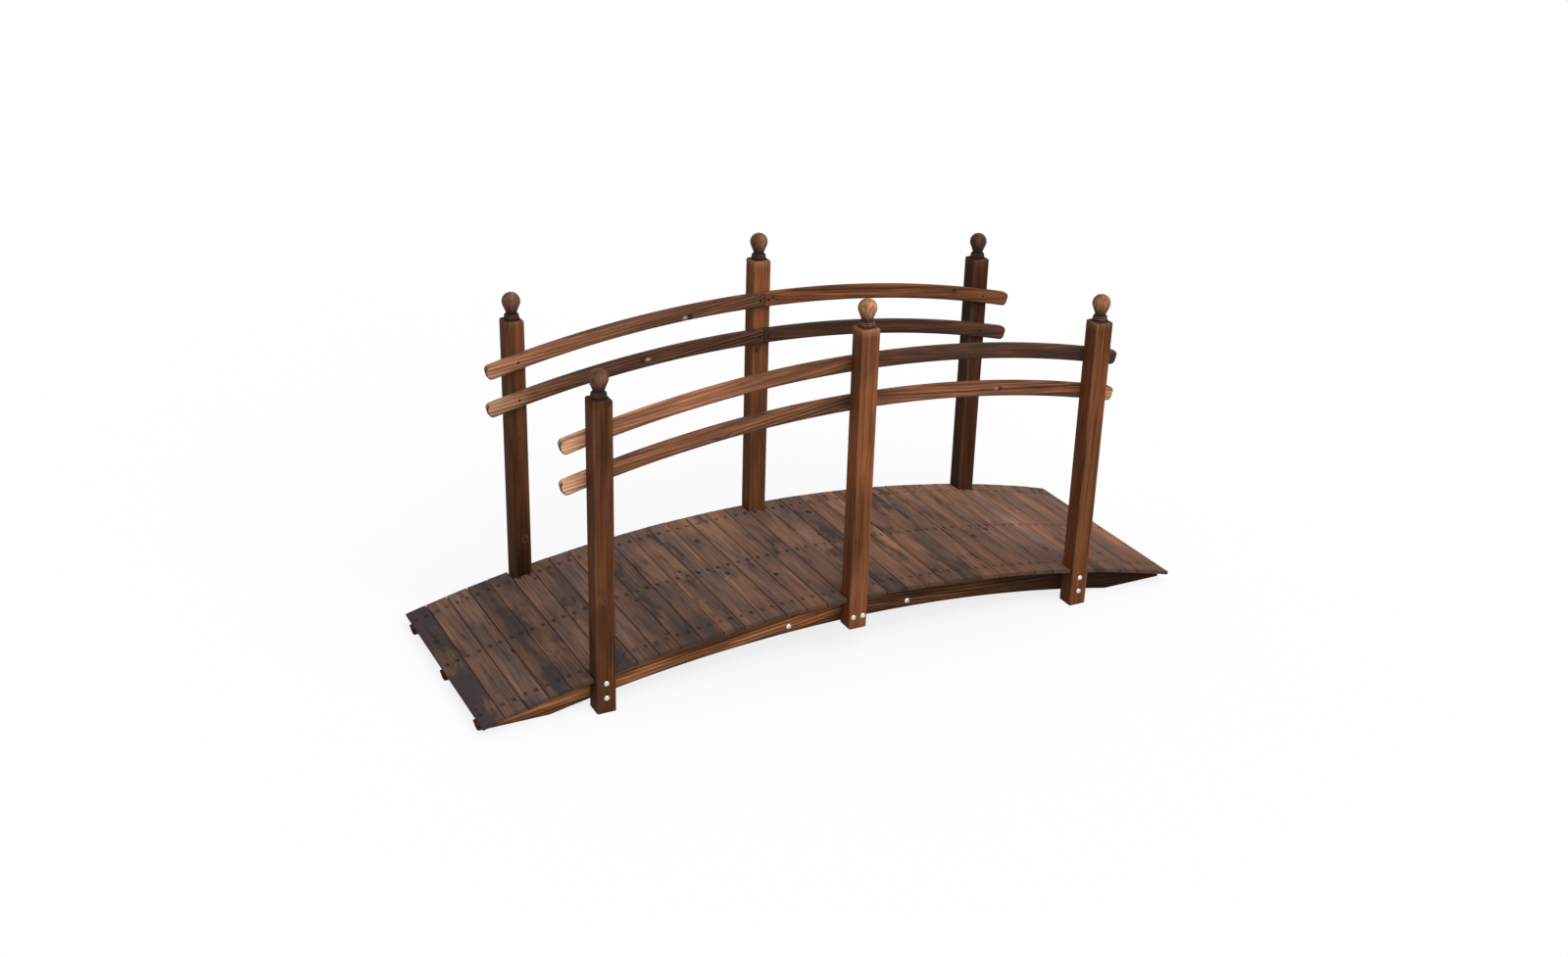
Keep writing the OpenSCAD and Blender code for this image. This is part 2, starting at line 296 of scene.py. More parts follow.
def firFinish(name, look):
    material, tree = startFinish(name)
    grain = meshValues(tree, "grain")
    seed, tone, warmth = meshValues(tree, "board").split()
    char, pale, sootier = meshValues(tree, "wear").split()
    place = grain + seed.join(seed, seed) * look["seedShift"]
    knotCore, knotSwirl, knotHalo, ragged = knotFigure(place, look)
    late, ringShare = ringFigure(grain, place, seed, knotSwirl, look)
    crack = crackFigure(place, look)
    fibre = place.noise(look["fibre"], *look["fibreNoise"])
    cloud = place.noise(look["cloud"], *look["cloudNoise"])
    thread = place.noise(look["thread"], *look["threadNoise"]).spread(*look["threadRange"])

    # the stain: rings, grey clouds and warm flushes, lighter and darker along the fibres
    colour = ringShare.mix(look["early"], look["late"])
    colour = cloud.spread(*look["greyRange"], 0, look["greyShare"]).mix(colour, look["grey"])
    flush = place.noise(look["flush"], *look["flushNoise"]).spread(*look["flushRange"])
    colour = (flush * warmth * look["flushDepth"]).mix(colour, look["warm"])
    shade = fibre.spread(*look["fibreRange"], *look["fibreTones"]) * tone
    shade = shade * cloud.spread(*look["cloudRange"]) * (thread * -look["threadDepth"] + 1)
    green, blue = [shade * (warmth * -drop + 1) for drop in look["ruddy"]]
    colour = colour * shade.join(green, blue)
    rim = place.noise(*look["rimNoise"]).spread(*look["rimRange"])
    colour = (knotHalo * rim).mix(colour, look["knotRim"])

    # the wear: bare wood, soot, cross ticks, knots, char and drying checks
    lined = ringShare.calc("MAXIMUM", thread * look["threadLine"])
    bare = pale * cloud.spread(*look["bareRange"]) * (lined * -look["bareLines"] + 1)
    colour = bare.mix(colour, look["pale"])
    smudge = fibre.spread(*look["smudgeRange"], look["smudge"], look["smudge"] * look["smudgeFaint"])
    soot = sootFigure(place, sootier, look).calc("MAXIMUM", knotSwirl * smudge)
    colour = (soot * look["sootShare"]).mix(colour, look["soot"])
    tick = place.noise(*look["tickNoise"]).spread(look["tickFrom"], look["tickFrom"] + look["tickSoft"])
    colour = (tick * look["tickShare"]).mix(colour, look["soot"])
    colour = (knotCore * look["knotDepth"]).mix(colour, look["knot"])
    charred = char * fibre.spread(*look["charRange"], look["charFloor"], 1.0)
    colour = (charred * look["charShare"]).mix(colour, look["char"])
    colour = crack.mix(colour, look["char"])
    if "markSize" in look:
        colour = layMark(colour, ragged, look)
    if look["nailRow"]:
        colour = layNailStainAndShade(colour, grain, cloud, look)

    rough = fibre.spread(*look["fibreRange"], *look["roughness"])
    height = place.noise(*look["poreNoise"]) * look["poreRise"] + fibre * look["fibreRise"]
    height = height + late * look["lateRise"] + crack * look["crackRise"] + knotCore * look["knotRise"]
    endFinish(tree, colour, rough + soot * look["sootRough"], height, look)
    return material


# Zinc-coated steel and dull iron, clouded and scratched a little
steelLook = dict(
    cloudNoise=((140, 140, 140), 3, 0.6), dullRange=(0.35, 0.65), roughRange=(0.3, 0.7),
    spotNoise=((420, 420, 420), 3, 0.6, (4, 1, 2)), spotRange=(0.6, 0.72),
    scratchNoise=((900, 260, 2600), 2, 0.6), scratchRise=0.6,
)


def steelFinish(name, look):
    material, tree = startFinish(name)
    place = addNode(tree, "TexCoord", (), "Object")
    cloud = place.noise(*look["cloudNoise"])
    spot = place.noise(*look["spotNoise"]).spread(*look["spotRange"])
    colour = cloud.spread(*look["dullRange"]).mix(look["bright"], look["dull"])
    colour = (spot * look["spotShare"]).mix(colour, look["spot"])
    rough = cloud.spread(*look["roughRange"], *look["roughness"])
    height = place.noise(*look["scratchNoise"]) * look["scratchRise"] + cloud
    endFinish(tree, colour, rough, height, look)
    return material


# Meshes are gathered as lists, then made into one piece
def newParts():
    return {"points": [], "faces": [], "grain": [], "board": [], "wear": []}


# Outline of a board's section as (a, b, edge), where edge is 1 on the eased corners.
# A face has a row of points one band in from each edge, and fill rows between them.
def boardOutline(width, height, ease, band, fill, steps=3):
    leastBands = 2.5    # a face narrower than this has no rows
    outline = []
    corners = ((1, -1, -90, (0, 1)), (1, 1, 0, (-1, 0)), (-1, 1, 90, (0, -1)), (-1, -1, 180, (1, 0)))
    for sideA, sideB, start, onward in corners:
        for k in range(steps + 1):
            angle = radians(start + 90 * k / steps)
            a = sideA * (width / 2 - ease) + ease * cos(angle)
            b = sideB * (height / 2 - ease) + ease * sin(angle)
            outline.append((a, b, 1.0))
        lastA, lastB, _ = outline[-1]
        flat = (width if onward[0] else height) - 2 * ease
        if flat < leastBands * band:
            continue
        for k in range(fill + 2):
            run = lerp(band, flat - band, k / (fill + 1))
            outline.append((lastA + onward[0] * run, lastB + onward[1] * run, 0.0))
    return outline


def joinRings(parts, first, count, total):
    for low in range(first, first + (total - 1) * count, count):
        for k in range(count):
            after = (k + 1) % count
            parts["faces"].append((low + k, low + after, low + count + after, low + count + k))


# Rings of points, joined by quads and closed by a fan at each end
def addRings(parts, rings):
    keys = [key for key in parts if key != "faces"]
    first = len(parts["points"])
    count = len(rings[0])
    for ring in rings:
        for entry in ring:
            for key, value in zip(keys, entry):
                parts[key].append(value)
    joinRings(parts, first, count, len(rings))
    for ring, low in ((rings[0], first), (rings[-1], first + (len(rings) - 1) * count)):
        hub = len(parts["points"])
        for key, values in zip(keys, zip(*ring)):
            parts[key].append(sum((Vector(value) for value in values), Vector()) / count)
        for k in range(count):
            parts["faces"].append((low + k, low + (k + 1) % count, hub))


# A turned shape: profile is a list of (radius, height, char) from its foot to its top
def addTurned(parts, profile, foot, axis, count, board=(0, 1, 0)):
    turn = Vector(axis).to_track_quat("Z", "Y")
    first = len(parts["points"])
    for radius, height, char in profile:
        for k in range(count):
            angle = 2 * pi * k / count
            local = Vector((radius * cos(angle), radius * sin(angle), height))
            parts["points"].append(Vector(foot) + turn @ local)
            parts["grain"].append((local.z, local.x, local.y))
            parts["wear"].append((char, 0, 0))
            parts["board"].append(board)
    joinRings(parts, first, count, len(profile))
    last = len(parts["points"])
    parts["faces"].append(tuple(range(first + count - 1, first - 1, -1)))
    parts["faces"].append(tuple(range(last - count, last)))


def makePiece(name, parts, material, node=None, crease=plainCrease):
    mesh = bpy.data.meshes.new(name)
    mesh.from_pydata([tuple(p) for p in parts["points"]], [], parts["faces"])
    work = bmesh.new()
    work.from_mesh(mesh)
    bmesh.ops.recalc_face_normals(work, faces=work.faces)
    work.to_mesh(mesh)
    work.free()
    for key in [key for key in parts if key not in ("points", "faces")]:
        values = mesh.attributes.new(key, "FLOAT_VECTOR", "POINT")
        values.data.foreach_set("vector", [x for v in parts[key] for x in v])
    mesh.shade_smooth()
    mesh.set_sharp_from_angle(angle=radians(crease))
    mesh.materials.append(material)
    piece = bpy.data.objects.new(name, mesh)
    scene.collection.objects.link(piece)
    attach(piece, "root")
    if node:
        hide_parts(node)


# One piece for each named row of draws; add puts its shape into the parts
def makeEach(rows, ending, dice, material, add, crease=plainCrease):
    for name, draw in rows.items():
        node = name + ending
        parts = newParts()
        add(parts, name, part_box(node), dice.uniform(0, seedSpan), draw)
        makePiece(camelName(node), parts, material, node, crease)


# The arch that the stringers, the deck and the bolts share
archSize = dict(topRadius=4.318, underRadius=4.5, depth=0.081, noseOverhang=0.007)
topRadius = archSize["topRadius"]
underRadius = archSize["underRadius"]
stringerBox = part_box("front_right_stringer")
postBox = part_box("front_right_post")
crownZ = stringerBox[1].z
seatY = -stringerBox[0].y
stringerThick = stringerBox[1].y - stringerBox[0].y
topCentreZ = crownZ - topRadius
underCentreZ = crownZ - archSize["depth"] - underRadius
noseAngle = asin(stringerBox[1].x / topRadius)
postX = (postBox[0].x + postBox[1].x) / 2
postSize = postBox[1].x - postBox[0].x

# Deck of stained planks, numbered from 0 at mid-span, below 0 on the left
deckBoards = dict(
    width=0.0635, thick=0.011, ease=0.0011, edgeBand=0.0035, fill=3,
    count=17,   # planks on each side of mid-span
    stations=28, endEase=0.0012, endBand=0.007,
    endNarrow=0.3,      # how far the ends narrow, as a share of how far they thin
    lengthPlay=0.002,   # how far plank ends stray from a straight line
    upperFrom=0.003,    # points above this are on the upper side
    cup=0.0004,         # hollow across a plank's top
    wobble=0.00025, wobblePitch=(6, 3.7),
    tones=(0.82, 1.12), toneSpread=0.1,     # the boards lighten and redden from left to right
    warmths=(0.1, 0.75), warmSpread=0.25,
    darkBoards=(-17, -14, -13, -11, -8, 2, 6), darkTone=0.86, darkSoot=0.35,
    lightBoards={-15: 1.2, -5: 1.32, -3: 1.22, -2: 1.36, 4: 1.2, 10: 1.25, 11: 1.1, 12: 1.5},
    frontShade=0.3,     # past the left ramp, the planks are darker towards their front ends
    frontReach=(-0.28, -0.1), frontFrom=(-13, -9), middleLift=0.12,
    sootPlay=(-0.3, 0.25), sootyBoards={-17: 0.75},
    freshPlay=(-0.8, 0.7),  # fresh wood along an edge, where this comes out above 0
    endChar=0.5, edgeChar=0.3, underChar=0.9, diceSeed=1000,
)
deckLook = dict(
    firLook, early=(0.184, 0.1, 0.07), late=(0.075, 0.041, 0.03), grey=(0.114, 0.077, 0.067),
    warm=(0.27, 0.12, 0.062), soot=(0.03, 0.026, 0.029), char=(0.012, 0.007, 0.005),
    pale=(0.36, 0.155, 0.075), knot=(0.016, 0.011, 0.01), knotRim=(0.24, 0.15, 0.11),
    ruddy=(0.14, 0.28),     # how far warmth takes green and blue down
    ringGap=0.0078, ringDepth=0.55, sway=0.026, taper=0.018, pithSpread=(0.09, 0.05), pithPlace=(0, -0.05),
    fibre=(6, 170, 170), fibreTones=(0.64, 1.32), thread=(2.2, 240, 240), threadDepth=0.28,
    cloud=(3.4, 15, 15), greyShare=0.8, flush=(2.2, 34, 34), flushDepth=0.65,
    sootPatch=(6, 18, 18), sootFrom=0.535, sootSoft=0.17, sootShare=0.82,
    tickFrom=0.68, tickShare=0.3, cracks=0.5, crackFrom=0.5, charShare=0.9, charFloor=0.55, smudge=0.75,
    knotCell=(0.2, 0.1, 0), knotSize=0.0098, knotShare=0.36,
    nailRow=seatY - stringerThick / 2, nailPair=0.016,
    roughness=(0.6, 0.85), gloss=0.14, bump=0.45, bumpDepth=0.0008,
)
plankGroups = {
    "left_ramp_planks": range(-17, -12), "left_post_plank": [-12], "left_bay_planks": range(-11, 0),
    "middle_post_plank": [0],
    "right_bay_planks": range(1, 12), "right_post_plank": [12], "right_ramp_planks": range(13, 18),
}
halfDeck = topRadius * noseAngle - archSize["noseOverhang"] - deckBoards["width"] / 2
plankStep = halfDeck / deckBoards["count"] / topRadius


# Where a plank lies on the arch, and its directions across and up
def plankFrame(number):
    angle = number * plankStep
    ahead = Vector((cos(angle), 0, -sin(angle)))
    return polar(topRadius, angle, topCentreZ), ahead, polar(1, angle, 0)


def plankShade(number, y):
    look = deckBoards
    shade = lerp(1 - look["frontShade"], 1 + look["middleLift"], shareOf(y, *look["frontReach"]))
    return lerp(1, shade, shareOf(number, *look["frontFrom"]))


# What differs from plank to plank
def plankDraw(number, halfLength):
    look = deckBoards
    dice = random.Random(look["diceSeed"] + number)
    dark = number in look["darkBoards"]
    share = (number / look["count"] + 1) / 2
    tone = lerp(*look["tones"], share) * (1 + dice.uniform(-1, 1) * look["toneSpread"])
    tone *= look["lightBoards"].get(number, look["darkTone"] if dark else 1)
    warmth = lerp(*look["warmths"], share) + dice.uniform(-look["warmSpread"], look["warmSpread"])
    seed = dice.uniform(0, seedSpan)
    soot = look["darkSoot"] if dark else dice.uniform(*look["sootPlay"])
    soot = look["sootyBoards"].get(number, soot)
    fresh = {side: max(0, dice.uniform(*look["freshPlay"])) for side in (-1, 1)}
    cup = look["cup"] * dice.choice((-1, 1, 1))  # two in three are hollow on top
    low = -halfLength + dice.uniform(0, look["lengthPlay"])
    high = halfLength - dice.uniform(0, look["lengthPlay"])
    return tone, max(0, warmth), seed, soot, fresh, cup, low, high


def addPlank(parts, number, halfLength):
    look = deckBoards
    tone, warmth, seed, soot, fresh, cup, low, high = plankDraw(number, halfLength)
    base, ahead, normal = plankFrame(number)
    outline = boardOutline(look["width"], look["thick"], look["ease"], look["edgeBand"], look["fill"])
    runs = [low, low + look["endEase"], low + look["endBand"]]
    runs += stepsTo(low, high, look["stations"])[:-1]
    runs += [high - look["endBand"], high - look["endEase"], high]
    last = len(runs) - 1
    alongPitch, boardPitch = look["wobblePitch"]
    rings = []
    for index, y in enumerate(runs):
        inset = 1 - look["endEase"] / look["thick"] if index in (0, last) else 1
        narrow = 1 - (1 - inset) * look["endNarrow"]
        board = (seed, tone * plankShade(number, y), warmth)
        ring = []
        for a, b, edge in outline:
            side = 1 if a > 0 else -1
            swell = noise.noise((y * alongPitch, number * boardPitch, side))
            wobble = copysign(look["wobble"] * swell ** 2, a)
            lift = cup * (2 * a / look["width"]) ** 2 if b > 0 else 0
            height = look["thick"] / 2 + (b + lift) * inset
            point = base + ahead * (a * narrow + wobble) + normal * height
            point.y += y
            wear = (look["underChar"], 0, soot)
            if index in (0, 1, last - 1, last):
                wear = (look["endChar"], 0, soot)
            elif b > look["upperFrom"]:
                wear = (look["edgeChar"] * edge, fresh[side] * edge, soot)
            ring.append((point, (y, a, b), board, wear))
        rings.append(ring)
    addRings(parts, rings)


def makeDeck():
    material = firFinish("deckFir", deckLook)
    for node, numbers in plankGroups.items():
        parts = newParts()
        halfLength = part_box(node)[1].y
        for number in numbers:
            addPlank(parts, number, halfLength)
        makePiece(camelName(node), parts, material, node)


makeDeck()
print("deck laid")

# Sawn boards with curved edges: what stringers, splice plates and rails share.
# A station is (top, bottom, squeeze of the thickness, distance from the far end).
curvedBoards = dict(
    ease=0.0015, band=0.006, bandPlay=0.001, rows=1,
    fullBand=0.024,     # where a board is less deep, its bands narrow
    gap=0.001, endSqueeze=0.9, capRings=2,
    edgeChar=0.5, topChar=0.5, endChar=0.9, buttChar=0.9,
    edgeEnd=0.006,  # edges are charred this far from the end, and faces as far as endReach
    endReach=0.0, paleReach=0.1, toneBend=1.0,
)


def addCurvedBoard(parts, stations, box, look, seed, toneNear, toneFar, warmth, soot, paleEnd=0,
                   shadedStreak=None, mark=None):
    y = (box[0].y + box[1].y) / 2
    stations = list(stations)
    middles = [(top + bottom) / 2 for top, bottom, _, _ in stations]
    span = middles[-1] - middles[0]
    chord = span.normalized()
    rise = Vector((-chord.z, 0, chord.x))
    fullDepth = max((top - bottom).length for top, bottom, _, _ in stations)
    outline = boardOutline(box[1].y - box[0].y, fullDepth, look["ease"], look["band"], look["rows"])
    inset = look["ease"] + look["band"]
    rings = []
    for index, (top, bottom, squeeze, fromEnd) in enumerate(stations):
        depth = (top - bottom).length
        outward = (top - bottom) / depth
        shrink = min(1, depth / look["fullBand"])
        pale = paleEnd * max(0, 1 - fromEnd / look["paleReach"])
        atEnd = index >= len(stations) - look["capRings"]
        ring = []
        for a, b, edge in outline:
            fromEdge = fullDepth / 2 - abs(b)
            if fromEdge < inset + look["bandPlay"]:
                b = copysign(depth / 2 - fromEdge * shrink, b)
            else:
                b *= (depth / 2 - inset * shrink) / (fullDepth / 2 - inset)
            point = bottom + outward * (depth / 2 + b)
            point.y = y + a * squeeze
            local = point - middles[0]
            along = local.dot(chord)
            across = local.dot(rise)
            nearness = (1 - shareOf(along, 0, span.length)) ** look["toneBend"]
            tone = lerp(toneFar, toneNear, nearness)
            # painted shade: the board is lighter along the streak and darker away from it, and above it this
            # stands for the deck overhang's shadow
            if shadedStreak:
                light, middle, width = shadedStreak
                fade = ((across * copysign(1, chord.x) - middle) / width) ** 2
                tone *= lerp(light, look["shadedStreakFloor"], min(1, fade))
            char = edge * look["topChar" if b > 0 else "edgeChar"]
            if index < look["capRings"]:
                char = look["buttChar"]
            elif atEnd or fromEnd < (look["edgeEnd"] if edge else look["endReach"]):
                char = look["endChar"]
            entry = (point, (along, across, point.y - y), (seed, tone, warmth), (char, pale, soot))
            if mark:
                entry += ((along - mark[0], b - mark[1], mark[2]),)
            ring.append(entry)
        rings.append(ring)
    addRings(parts, rings)


# Stringers: tone at mid-span and at the nose, warmth and soot for each half
stringerBoards = dict(
    curvedBoards, rows=7, stations=44, noseStations=8, endEase=0.0015,
    startRings=(0, 1, 3), noseRings=(10, 7, 3, 1, 0),   # how many endEase from the end each lies
    endChar=0.95, endReach=0.0105, toneBend=3.0,
    halves={
        # the front right half darkens towards its nose: a darker stain, with painted shade of the deck's
        # overhang
        "front_left": (0.55, 1.45, 0.6, 0.0), "front_right": (0.98, 0.12, 0.3, 0.25),
        "middle_left": (0.85, 0.85, 0.3, 0.1), "middle_right": (0.85, 0.8, 0.3, 0.1),
        "back_left": (1.0, 1.1, 0.4, 0.1), "back_right": (1.1, 0.9, 0.4, 0.1),
    },
    # a lighter streak along the board, darker above and below it, the darkening above being a painted shadow
    # of the deck's overhang: its tone, its height above the chord and its width
    shadedStreaks={"front_left": (1.75, 0.001, 0.02), "front_right": (1.05, 0.03, 0.055)},
    shadedStreakFloor=0.5, diceSeed=31,
)
stringerLook = dict(
    deckLook, early=(0.27, 0.115, 0.053), late=(0.042, 0.019, 0.01), grey=(0.07, 0.038, 0.024),
    warm=(0.42, 0.18, 0.075), knotRim=(0.15, 0.07, 0.035), ringGap=0.0115, ringDepth=1.0, sway=0.016,
    taper=0.03, pithSpread=(0.14, 0.05), pithPlace=(0.16, 0.02), fibreTones=(0.58, 1.4),
    threadDepth=0.45, greyShare=0.5, flush=(1.6, 42, 42), flushDepth=0.85, sootPatch=(2.4, 20, 20),
    sootFrom=0.6, tickShare=0.2, charFloor=0.8, charShare=0.95, knotCell=(0.5, 0.2, 0), knotSize=0.0075,
    knotShare=0.35, nailRow=None, gloss=0.06)


def stringerStations(end):
    look = stringerBoards
    drop = topCentreZ - underCentreZ
    kinkX = sqrt(underRadius ** 2 - underCentreZ ** 2)  # where the underside meets the flat foot
    kink = atan2(kinkX, -topCentreZ)
    start = asin(look["gap"] / 2 / topRadius)
    ease = look["endEase"] / topRadius
    angles = [start + count * ease for count in look["startRings"]]
    angles += stepsTo(start, kink, look["stations"])
    angles += stepsTo(kink, noseAngle, look["noseStations"])[:-1]
    angles += [noseAngle - count * ease for count in look["noseRings"]]
    for angle in angles:
        under = -drop * cos(angle) + sqrt(underRadius ** 2 - (drop * sin(angle)) ** 2)
        under = max(under, -topCentreZ / cos(angle))
        top, bottom = [polar(r, end * angle, topCentreZ) for r in (topRadius, under)]
        squeeze = look["endSqueeze"] if angle in (angles[0], angles[-1]) else 1
        yield top, bottom, squeeze, (noseAngle - angle) * topRadius


# Splice plates inside the stringers' joints
spliceBoards = dict(
    curvedBoards, low=0.008, depth=0.058, stations=20,
    endRings=[1, 0.993, 0.98],  # shares of half the length
    noEnd=1,                    # too far from an end for wear
    each=dict.fromkeys(("front", "middle", "back"), (0.8, 0.8, 0.3, 0.1)),
)


def spliceStations(halfLength):
    look = spliceBoards
    low = topRadius - archSize["depth"] + look["low"]
    high = low + look["depth"]
    shares = [-share for share in look["endRings"]]
    shares += stepsTo(-1, 1, look["stations"])[:-1]
    for share in shares + look["endRings"][::-1]:
        x = share * halfLength
        top, bottom = [Vector((x, 0, topCentreZ + sqrt(r ** 2 - x ** 2))) for r in (high, low)]
        squeeze = look["endSqueeze"] if abs(share) == 1 else 1
        yield top, bottom, squeeze, look["noEnd"]


def addStringer(parts, name, box, seed, draw):
    shadedStreak = stringerBoards["shadedStreaks"].get(name)
    addCurvedBoard(parts, stringerStations(endOf(name)), box, stringerBoards, seed, *draw, shadedStreak=shadedStreak)


def addSplice(parts, name, box, seed, draw):
    addCurvedBoard(parts, spliceStations(box[1].x), box, spliceBoards, seed, *draw)


stringerFir = firFinish("stringerFir", stringerLook)
stringerDice = random.Random(stringerBoards["diceSeed"])
makeEach(stringerBoards["halves"], "_stringer", stringerDice, stringerFir, addStringer)
makeEach(spliceBoards["each"], "_splice_plate", stringerDice, stringerFir, addSplice)
print("stringers and splice plates sawn")

# Rails: tone at mid-span and at the end, warmth, soot and paleness of the end for each half
railBoards = dict(
    curvedBoards, height=0.043, radius=3.54, ease=0.0025,
    stations=40, startRings=(0, 0.0015, 0.004), endRound=0.014, roundSteps=7,
    endSqueeze=0.94, tipSqueeze=0.8,
    # the top edges keep less char than the lower ones: rubbed wood with a painted highlight along the top
    edgeChar=0.6, topChar=0.3, endChar=1.0, buttChar=0.4, paleReach=0.14, toneBend=0.5,
    halves={
        "front_left_upper": (0.55, 3.5, 0.6, -0.5, 2.2), "front_right_upper": (0.46, 0.62, 0.3, 0.6, 0.0),
        "front_left_lower": (0.66, 1.25, 0.5, -0.1, 2.5), "front_right_lower": (0.9, 0.62, 0.8, 0.1, 0.6),
        "back_left_upper": (0.6, 1.5, 0.3, 0.1, 0.2), "back_right_upper": (0.72, 0.34, 1.6, -0.4, 0.1),
        "back_left_lower": (0.34, 1.0, 0.0, 0.35, 0.75), "back_right_lower": (0.27, 0.38, 0.35, 0.3, 0.0),
    },
    # a knot's place along and across, and its chip: above 0 outward of it, under 0 inward, fainter near 0
    marks={
        "back_left_upper": (0.246, -0.011, 1), "back_left_lower": (0.393, 0.001, -1),
        "front_right_lower": (0.463, 0.001, -0.55),
    },
    noMark=(9, 0, 1),  # off the board
    # char left on the top edges, which are rubbed and carry a painted highlight
    tops={
        "front_left_upper": 0.6, "front_right_upper": 0.0, "back_right_lower": 0.0, "back_left_upper": 0.4,
    },
    diceSeed=47,
)
railLook = dict(
    stringerLook, early=(0.26, 0.113, 0.063), late=(0.038, 0.017, 0.011), grey=(0.085, 0.05, 0.038),
    warm=(0.42, 0.17, 0.08), pale=(0.84, 0.45, 0.26), soot=(0.027, 0.018, 0.013),
    knotRim=(0.12, 0.06, 0.035), chip=(0.52, 0.4, 0.33), ringGap=0.0105, sway=0.012, taper=0.02,
    pithSpread=(0.12, 0.05), pithPlace=(0.15, 0.0), fibreTones=(0.58, 1.38), greyShare=0.45,
    flush=(1.5, 40, 40), sootPatch=(1.5, 14, 14), sootFrom=0.62, tickShare=0.15, cracks=0.35,
    knotCell=(0.32, 0.12, 0), knotShare=0.2, gloss=0.15, markSize=0.0085, markRag=0.008, chipStep=0.015)
railMiddle = railBoards["radius"] - railBoards["height"] / 2


def railStations(end, crown):
    look = railBoards
    centreZ = crown - look["radius"]
    stop = asin(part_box("front_right_upper_rail")[1].x / railMiddle)
    start = asin(look["gap"] / 2 / look["radius"])
    roundAngle = look["endRound"] / railMiddle
    angles = [start + gap / railMiddle for gap in look["startRings"]]
    angles += stepsTo(start, stop - roundAngle, look["stations"])
    for turn in stepsTo(0, pi / 2, look["roundSteps"]):
        angles.append(stop - roundAngle * (1 - sin(turn)))
    last = len(angles) - 1
    squeezes = {0: look["endSqueeze"], last - 1: look["endSqueeze"], last: look["tipSqueeze"]}
    for index, angle in enumerate(angles):
        fromEnd = (stop - angle) * railMiddle
        half = look["height"] / 2
        if fromEnd < look["endRound"]:
            cut = look["endRound"] - fromEnd
            half -= look["endRound"] - sqrt(max(0, look["endRound"] ** 2 - cut ** 2))
        top, bottom = [polar(r, end * angle, centreZ) for r in (railMiddle + half, railMiddle - half)]
        yield top, bottom, squeezes.get(index, 1), fromEnd


def addRail(parts, name, box, seed, draw):
    look = dict(railBoards, topChar=railBoards["tops"].get(name, railBoards["topChar"]))
    mark = look["marks"].get(name, look["noMark"])
    parts["mark"] = []
    addCurvedBoard(parts, railStations(endOf(name), box[1].z), box, look, seed, *draw, mark=mark)


railFir = firFinish("railFir", railLook)
railDice = random.Random(railBoards["diceSeed"])
makeEach(railBoards["halves"], "_rail", railDice, railFir, addRail)
print("rails bent")

# Posts: tone at the foot and at the top, warmth, soot, and how pale or charred the top is
postBoards = dict(
    ease=0.0032, easeSteps=4, band=0.007, fill=1, stations=30,
    footEase=0.002, footBand=0.01, footChar=0.5,
    topEase=0.004, topBand=0.012, topReach=0.024,
    topTurn=(0.3, 0.45),    # a ring on the top's easing: how far down and in, as shares of it
    charBend=0.5, edgePale=0.12, crease=40,
    each={
        "front_left": (0.56, 0.62, 0.4, 0.15, 0.0, 0.75), "front_middle": (1.1, 1.2, 0.6, -0.1, 0.9, 0.0),
        "front_right": (0.86, 0.82, 0.5, 0.0, 0.55, 0.0), "back_left": (0.02, 0.92, 0.35, 0.2, 0.2, 0.2),
        "back_middle": (0.62, 1.08, 0.5, 0.1, 0.6, 0.0), "back_right": (0.24, 0.5, 0.35, 0.3, 0.2, 0.1),
    },
    diceSeed=12,
)
postLook = dict(
    deckLook, early=(0.19, 0.071, 0.031), late=(0.06, 0.0225, 0.0105), grey=(0.095, 0.043, 0.0245),
    warm=(0.27, 0.099, 0.04), pale=(0.42, 0.2, 0.105), knotRim=(0.13, 0.058, 0.028), ringGap=0.0068,
    sway=0.012, taper=0.012, pithSpread=(0.1, 0.1), pithPlace=(0.05, 0.06), fibre=(6, 150, 150),
    fibreTones=(0.7, 1.24), greyShare=0.45, flush=(1.5, 40, 40), sootPatch=(2, 20, 20), sootFrom=0.6,
    smudge=0.3, tickShare=0.12, cracks=0.7, charShare=0.75, knotCell=(0.2, 0.075, 0.075), knotSize=0.0075,
    knotShare=0.5, nailRow=None, gloss=0.06)


def addPost(parts, name, box, seed, draw):
    look = postBoards
    toneLow, toneHigh, warmth, soot, paleTop, charTop = draw
    centre = (box[0] + box[1]) / 2
    low = box[0].z
    high = box[1].z
    down, inward = [look["topEase"] * share for share in look["topTurn"]]
    runs = [(low, look["footEase"]), (low + look["footEase"], 0), (low + look["footBand"], 0)]
    runs += [(z, 0) for z in stepsTo(low, high, look["stations"])[:-1]]
    runs += [(high - look[key], 0) for key in ("topReach", "topBand", "topEase")]
    runs += [(high - down, inward), (high, look["topEase"])]
    outline = boardOutline(postSize, postSize, look["ease"], look["band"], look["fill"], look["easeSteps"])
    rings = []
    for index, (z, inset) in enumerate(runs):
        scale = 1 - 2 * inset / postSize
        board = (seed, lerp(toneLow, toneHigh, (z - low) / (high - low)), warmth)
        top = max(0, 1 - (high - z) / look["topReach"])
        char = top ** look["charBend"] * charTop
        if index < 2:   # the foot's eased rings
            char = look["footChar"]
        elif z == high:
            char = 1.0
        ring = []
        for a, b, edge in outline:
            point = Vector((centre.x + a * scale, centre.y + b * scale, z))
            pale = max(top * paleTop, edge * look["edgePale"])
            ring.append((point, (z, a, b), board, (char, pale, soot)))
        rings.append(ring)
    addRings(parts, rings)


postFir = firFinish("postFir", postLook)
postDice = random.Random(postBoards["diceSeed"])
makeEach(postBoards["each"], "_post", postDice, postFir, addPost, postBoards["crease"])
print("posts stood")

